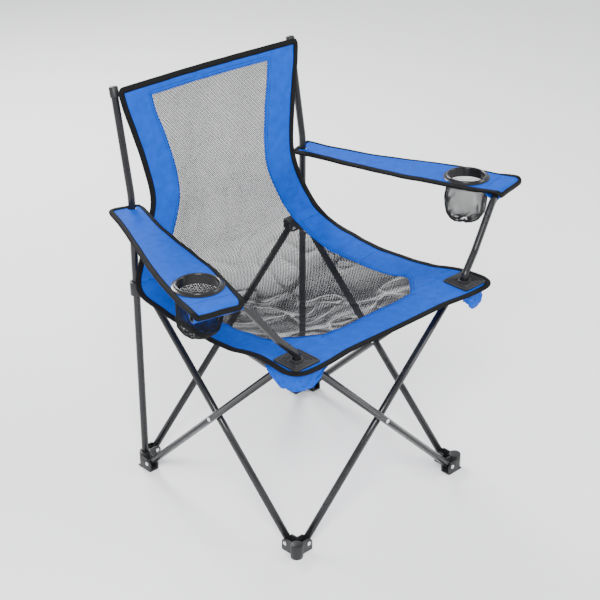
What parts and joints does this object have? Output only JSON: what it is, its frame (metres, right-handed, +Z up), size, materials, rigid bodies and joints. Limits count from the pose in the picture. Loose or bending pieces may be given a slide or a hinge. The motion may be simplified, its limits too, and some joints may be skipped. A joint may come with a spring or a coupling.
{
  "type": "folding_camp_chair",
  "caption": "Folding camp chair: black tube frame of scissor legs, blue and black mesh sling seat and back, armrests with mesh cup holders.",
  "frame": {"origin": "On the floor under the middle of the box around the open chair.", "axes": "+X to the sitter's left, across the chair; the chair faces -Y; +Z up."},
  "size_m": [0.9452, 0.6022, 0.8933],
  "materials": {
    "tube": "gloss black powder coat on steel tube",
    "plastic": "satin black moulding",
    "rivet": "bright steel",
    "cloth": "royal blue polyester weave",
    "mesh": "black polyester mesh"
  },
  "bodies": {
    "rear_left_post": {"rear_post_left": "tube", "post_cap_left": "plastic", "rear_left_foot": "plastic", "rear_left_foot_rivet_x": "rivet", "rear_left_foot_rivet_y": "rivet", "seat_back_panel": "mesh"},
    "rear_leg_a": {"rear_leg_a": "tube", "rear_cross_rivet": "rivet", "rear_cross_washer": "plastic"},
    "rear_leg_b": {"rear_leg_b": "tube"},
    "slider_left": {"rear_left_slider": "plastic", "rear_left_slider_rivet_x": "rivet", "rear_left_slider_rivet_y": "rivet"},
    "slider_right": {"rear_right_slider": "plastic", "rear_right_slider_rivet_x": "rivet", "rear_right_slider_rivet_y": "rivet"},
    "rear_right_post": {"rear_post_right": "tube", "post_cap_right": "plastic", "rear_right_foot": "plastic", "rear_right_foot_rivet_x": "rivet", "rear_right_foot_rivet_y": "rivet"},
    "left_leg_a": {"left_leg_a": "tube", "left_cross_rivet": "rivet", "left_cross_washer": "plastic"},
    "left_leg_b": {"left_leg_b": "tube"},
    "right_leg_a": {"right_leg_a": "tube", "right_cross_rivet": "rivet", "right_cross_washer": "plastic"},
    "right_leg_b": {"right_leg_b": "tube"},
    "front_leg_a": {"front_leg_a": "tube", "front_cross_rivet": "rivet", "front_cross_washer": "plastic"},
    "front_leg_b": {"front_leg_b": "tube"},
    "front_left_foot": {"front_left_foot": "plastic", "front_left_foot_rivet_x": "rivet", "front_left_foot_rivet_y": "rivet"},
    "front_left_hub": {"front_left_hub": "plastic", "front_left_hub_rivet_x": "rivet", "front_left_hub_rivet_y": "rivet", "corner_plate_left": "plastic", "corner_pocket_left": "cloth", "seat_front_band": "cloth"},
    "left_arm": {"arm_tube_left": "tube"},
    "left_armrest": {"armrest_left": "cloth", "cup_ring_left": "plastic", "cup_net_left": "mesh"},
    "front_right_foot": {"front_right_foot": "plastic", "front_right_foot_rivet_x": "rivet", "front_right_foot_rivet_y": "rivet"},
    "front_right_hub": {"front_right_hub": "plastic", "front_right_hub_rivet_x": "rivet", "front_right_hub_rivet_y": "rivet", "corner_plate_right": "plastic", "corner_pocket_right": "cloth"},
    "right_arm": {"arm_tube_right": "tube"},
    "right_armrest": {"armrest_right": "cloth", "cup_ring_right": "plastic", "cup_net_right": "mesh"},
    "seat_front": {"seat_front_panel": "mesh"},
    "seat_rear": {"seat_rear_panel": "mesh"}
  },
  "joints": [
    {"name": "fold", "type": "hinge", "parent": "rear_left_post", "child": "rear_leg_a", "pos_m": [-0.218, 0.25973, 0.01852], "axis": [0, -1, 0], "range_deg": [0, 40], "deforming": ["seat_front_band", "seat_front_panel", "seat_rear_panel", "seat_back_panel", "armrest_left", "armrest_right", "cup_net_left", "cup_net_right"]},
    {"name": "rear_cross", "type": "hinge", "parent": "rear_leg_a", "child": "rear_leg_b", "pos_m": [0, 0.24173, 0.23102], "axis": [0, 1, 0], "range_deg": [0, 80]},
    {"name": "slider_left_pin", "type": "hinge", "parent": "rear_leg_b", "child": "slider_left", "pos_m": [-0.218, 0.24173, 0.44352], "axis": [0, -1, 0], "range_deg": [0, 40]},
    {"name": "rear_right_foot_pin", "type": "hinge", "parent": "rear_leg_b", "child": "rear_right_post", "pos_m": [0.218, 0.24173, 0.01852], "axis": [0, -1, 0], "range_deg": [0, 40]},
    {"name": "slider_right_pin", "type": "hinge", "parent": "rear_leg_a", "child": "slider_right", "pos_m": [0.218, 0.25973, 0.44352], "axis": [0, 1, 0], "range_deg": [0, 40]},
    {"name": "left_leg_a_pin", "type": "hinge", "parent": "rear_left_post", "child": "left_leg_a", "pos_m": [-0.259, 0.21873, 0.01852], "axis": [-1, 0, 0], "range_deg": [0, 40]},
    {"name": "left_cross", "type": "hinge", "parent": "left_leg_a", "child": "left_leg_b", "pos_m": [-0.241, 0.00073, 0.23102], "axis": [1, 0, 0], "range_deg": [0, 80]},
    {"name": "front_left_foot_pin", "type": "hinge", "parent": "left_leg_b", "child": "front_left_foot", "pos_m": [-0.241, -0.21727, 0.01852], "axis": [-1, 0, 0], "range_deg": [0, 40]},
    {"name": "front_left_hub_pin", "type": "hinge", "parent": "left_leg_a", "child": "front_left_hub", "pos_m": [-0.259, -0.21727, 0.44352], "axis": [1, 0, 0], "range_deg": [0, 40]},
    {"name": "right_leg_a_pin", "type": "hinge", "parent": "rear_right_post", "child": "right_leg_a", "pos_m": [0.259, 0.21873, 0.01852], "axis": [-1, 0, 0], "range_deg": [0, 40]},
    {"name": "right_cross", "type": "hinge", "parent": "right_leg_a", "child": "right_leg_b", "pos_m": [0.241, 0.00073, 0.23102], "axis": [1, 0, 0], "range_deg": [0, 80]},
    {"name": "front_right_foot_pin", "type": "hinge", "parent": "right_leg_b", "child": "front_right_foot", "pos_m": [0.241, -0.21727, 0.01852], "axis": [-1, 0, 0], "range_deg": [0, 40]},
    {"name": "front_right_hub_pin", "type": "hinge", "parent": "right_leg_a", "child": "front_right_hub", "pos_m": [0.259, -0.21727, 0.44352], "axis": [1, 0, 0], "range_deg": [0, 40]},
    {"name": "front_leg_a_pin", "type": "hinge", "parent": "front_left_foot", "child": "front_leg_a", "pos_m": [-0.218, -0.24027, 0.01852], "axis": [0, -1, 0], "range_deg": [0, 40]},
    {"name": "front_cross", "type": "hinge", "parent": "front_leg_a", "child": "front_leg_b", "pos_m": [0, -0.25827, 0.23102], "axis": [0, 1, 0], "range_deg": [0, 80]},
    {"name": "left_arm_swivel", "type": "hinge", "parent": "front_left_hub", "child": "left_arm", "pos_m": [-0.25, -0.24927, 0.44352], "axis": [0, 0, -1], "range_deg": [0, 45]},
    {"name": "right_arm_swivel", "type": "hinge", "parent": "front_right_hub", "child": "right_arm", "pos_m": [0.25, -0.24927, 0.44352], "axis": [0, 0, 1], "range_deg": [0, 45]},
    {"name": "left_armrest_tilt", "type": "hinge", "parent": "left_arm", "child": "left_armrest", "pos_m": [-0.47064, -0.20238, 0.62274], "axis": [-0.9781, 0.2079, 0], "range_deg": [0, 76]},
    {"name": "right_armrest_tilt", "type": "hinge", "parent": "right_arm", "child": "right_armrest", "pos_m": [0.47064, -0.20238, 0.62274], "axis": [-0.9781, -0.2079, 0], "range_deg": [0, 76]},
    {"name": "seat_front_fold", "type": "hinge", "parent": "front_left_hub", "child": "seat_front", "pos_m": [0, -0.19927, 0.46544], "axis": [-1, 0, 0], "range_deg": [0, 90]},
    {"name": "seat_rear_fold", "type": "hinge", "parent": "rear_left_post", "child": "seat_rear", "pos_m": [0, 0.21873, 0.45344], "axis": [1, 0, 0], "range_deg": [0, 90]}
  ],
  "couplings": [
    {"joint": "rear_cross", "follows": "fold", "ratio": 2},
    {"joint": "slider_left_pin", "follows": "fold", "ratio": 1},
    {"joint": "rear_right_foot_pin", "follows": "fold", "ratio": 1},
    {"joint": "slider_right_pin", "follows": "fold", "ratio": 1},
    {"joint": "left_leg_a_pin", "follows": "fold", "ratio": 1},
    {"joint": "left_cross", "follows": "fold", "ratio": 2},
    {"joint": "front_left_foot_pin", "follows": "fold", "ratio": 1},
    {"joint": "front_left_hub_pin", "follows": "fold", "ratio": 1},
    {"joint": "right_leg_a_pin", "follows": "fold", "ratio": 1},
    {"joint": "right_cross", "follows": "fold", "ratio": 2},
    {"joint": "front_right_foot_pin", "follows": "fold", "ratio": 1},
    {"joint": "front_right_hub_pin", "follows": "fold", "ratio": 1},
    {"joint": "front_leg_a_pin", "follows": "fold", "ratio": 1},
    {"joint": "front_cross", "follows": "fold", "ratio": 2},
    {"joint": "left_arm_swivel", "follows": "fold", "ratio": 1.125},
    {"joint": "right_arm_swivel", "follows": "fold", "ratio": 1.125},
    {"joint": "left_armrest_tilt", "follows": "fold", "ratio": 1.9},
    {"joint": "right_armrest_tilt", "follows": "fold", "ratio": 1.9},
    {"joint": "seat_front_fold", "follows": "fold", "ratio": 2.25},
    {"joint": "seat_rear_fold", "follows": "fold", "ratio": 2.25}
  ]
}
